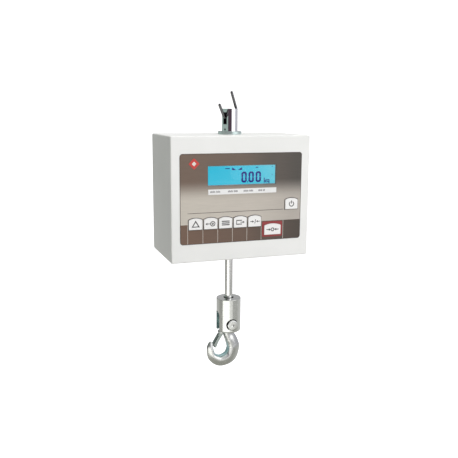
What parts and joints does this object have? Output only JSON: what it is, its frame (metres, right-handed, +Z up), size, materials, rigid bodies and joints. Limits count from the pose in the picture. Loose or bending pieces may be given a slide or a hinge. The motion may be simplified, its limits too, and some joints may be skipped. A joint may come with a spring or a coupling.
{
  "type": "crane scale",
  "caption": "Hanging crane scale: flat cabinet with keypad and backlit display, slotted boss and wire hanger above, swivelling clevis and latched load hook below.",
  "frame": {"origin": "centre of the rounded upper end of the hanger's shank, 3.5 mm to the right of the boss's axis", "axes": "+Z up, +X to the reader's right, the front panel faces -Y"},
  "size_m": [0.24, 0.1329, 0.4882],
  "materials": {
    "chrome_wire": "bright plated wire",
    "chrome": "polished chrome plate",
    "black_steel": "blackened steel",
    "zinc_steel": "zinc plated steel",
    "powder_coat": "warm white textured powder coat",
    "black_rubber": "moulded rubber",
    "panel_print": "printed polyester, brown to beige",
    "clear_window": "clear acrylic",
    "tinned_frame": "tinned sheet",
    "lcd_blue": "backlit display",
    "label_white": "printed white",
    "badge_red": "printed red",
    "key_outline": "printed dark line",
    "frame_red": "printed red",
    "board_green": "solder mask",
    "chip_black": "moulded package",
    "connector_white": "moulded housing",
    "cell_steel": "nickel plated steel",
    "cable_black": "cable sheath",
    "battery_case": "moulded case",
    "lead_red": "insulated lead",
    "socket_black": "moulded socket",
    "rod_steel": "bright turned steel",
    "bronze_washer": "bronze",
    "clevis_steel": "turned satin steel",
    "pin_steel": "turned steel",
    "forged_steel": "smooth zinc plated forging",
    "spring_steel": "spring wire",
    "latch_steel": "pressed zinc plated sheet",
    "key_white": "moulded white cap"
  },
  "bodies": {
    "hanger": {"hanger_hook": "chrome_wire"},
    "scale_body": {"suspension_boss": "chrome", "boss_set_screw": "black_steel", "top_flange": "chrome", "boss_nut": "zinc_steel", "front_casing": "powder_coat", "rear_gasket": "black_rubber", "rear_cover": "powder_coat", "cover_screws": "zinc_steel", "front_panel": "panel_print", "lcd_window": "clear_window", "lcd_bezel": "tinned_frame", "lcd_display": "lcd_blue", "label_strip": "label_white", "badge": "badge_red", "key_frames": "key_outline", "zero_key_frame": "frame_red", "key_mat": "black_rubber", "main_board": "board_green", "board_chips": "chip_black", "board_connectors": "connector_white", "board_standoffs": "zinc_steel", "board_screws": "zinc_steel", "load_cell": "cell_steel", "load_cell_nuts": "zinc_steel", "load_cell_cable": "cable_black", "battery": "battery_case", "battery_bracket": "zinc_steel", "battery_leads": "lead_red", "charger_jack": "socket_black", "jack_nut": "zinc_steel", "bottom_grommet": "black_rubber", "pull_rod": "rod_steel", "thrust_washer": "bronze_washer", "rod_nut": "zinc_steel"},
    "clevis": {"clevis": "clevis_steel", "clevis_pin": "pin_steel", "clevis_nut": "zinc_steel"},
    "load_hook": {"load_hook": "forged_steel", "latch_pin": "pin_steel", "latch_spring": "spring_steel"},
    "latch": {"latch": "latch_steel"},
    "key_1": {"key_1": "key_white"},
    "key_2": {"key_2": "key_white"},
    "key_3": {"key_3": "key_white"},
    "key_4": {"key_4": "key_white"},
    "key_5": {"key_5": "key_white"},
    "zero_key": {"zero_key": "key_white"},
    "power_key": {"power_key": "key_white"}
  },
  "joints": [
    {"name": "scale_swing", "type": "hinge", "parent": "hanger", "child": "scale_body", "pos_m": [-0.00336, -0.00097, -0.043], "axis": [0.9613, 0.2756, 0], "range_deg": [-30, 30]},
    {"name": "clevis_swivel", "type": "hinge", "parent": "scale_body", "child": "clevis", "pos_m": [-0.00336, -0.00097, -0.371], "axis": [0, 0, 1], "continuous": true},
    {"name": "hook_pivot", "type": "hinge", "parent": "clevis", "child": "load_hook", "pos_m": [-0.00336, -0.00097, -0.403], "axis": [0, 1, 0], "range_deg": [-35, 35]},
    {"name": "latch_pivot", "type": "hinge", "parent": "load_hook", "child": "latch", "pos_m": [-0.01786, -0.00097, -0.4215], "axis": [0, -1, 0], "range_deg": [0, 30], "stiffness_Nm_per_rad": 0.02, "springref_deg": -22.92},
    {"name": "key_1_press", "type": "slide", "parent": "scale_body", "child": "key_1", "axis": [0, 1, 0], "range_m": [0, 0.0005], "stiffness_N_per_m": 1500, "springref_m": -0.0002},
    {"name": "key_2_press", "type": "slide", "parent": "scale_body", "child": "key_2", "axis": [0, 1, 0], "range_m": [0, 0.0005], "stiffness_N_per_m": 1500, "springref_m": -0.0002},
    {"name": "key_3_press", "type": "slide", "parent": "scale_body", "child": "key_3", "axis": [0, 1, 0], "range_m": [0, 0.0005], "stiffness_N_per_m": 1500, "springref_m": -0.0002},
    {"name": "key_4_press", "type": "slide", "parent": "scale_body", "child": "key_4", "axis": [0, 1, 0], "range_m": [0, 0.0005], "stiffness_N_per_m": 1500, "springref_m": -0.0002},
    {"name": "key_5_press", "type": "slide", "parent": "scale_body", "child": "key_5", "axis": [0, 1, 0], "range_m": [0, 0.0005], "stiffness_N_per_m": 1500, "springref_m": -0.0002},
    {"name": "zero_key_press", "type": "slide", "parent": "scale_body", "child": "zero_key", "axis": [0, 1, 0], "range_m": [0, 0.0005], "stiffness_N_per_m": 1500, "springref_m": -0.0002},
    {"name": "power_key_press", "type": "slide", "parent": "scale_body", "child": "power_key", "axis": [0, 1, 0], "range_m": [0, 0.0005], "stiffness_N_per_m": 1500, "springref_m": -0.0002}
  ]
}
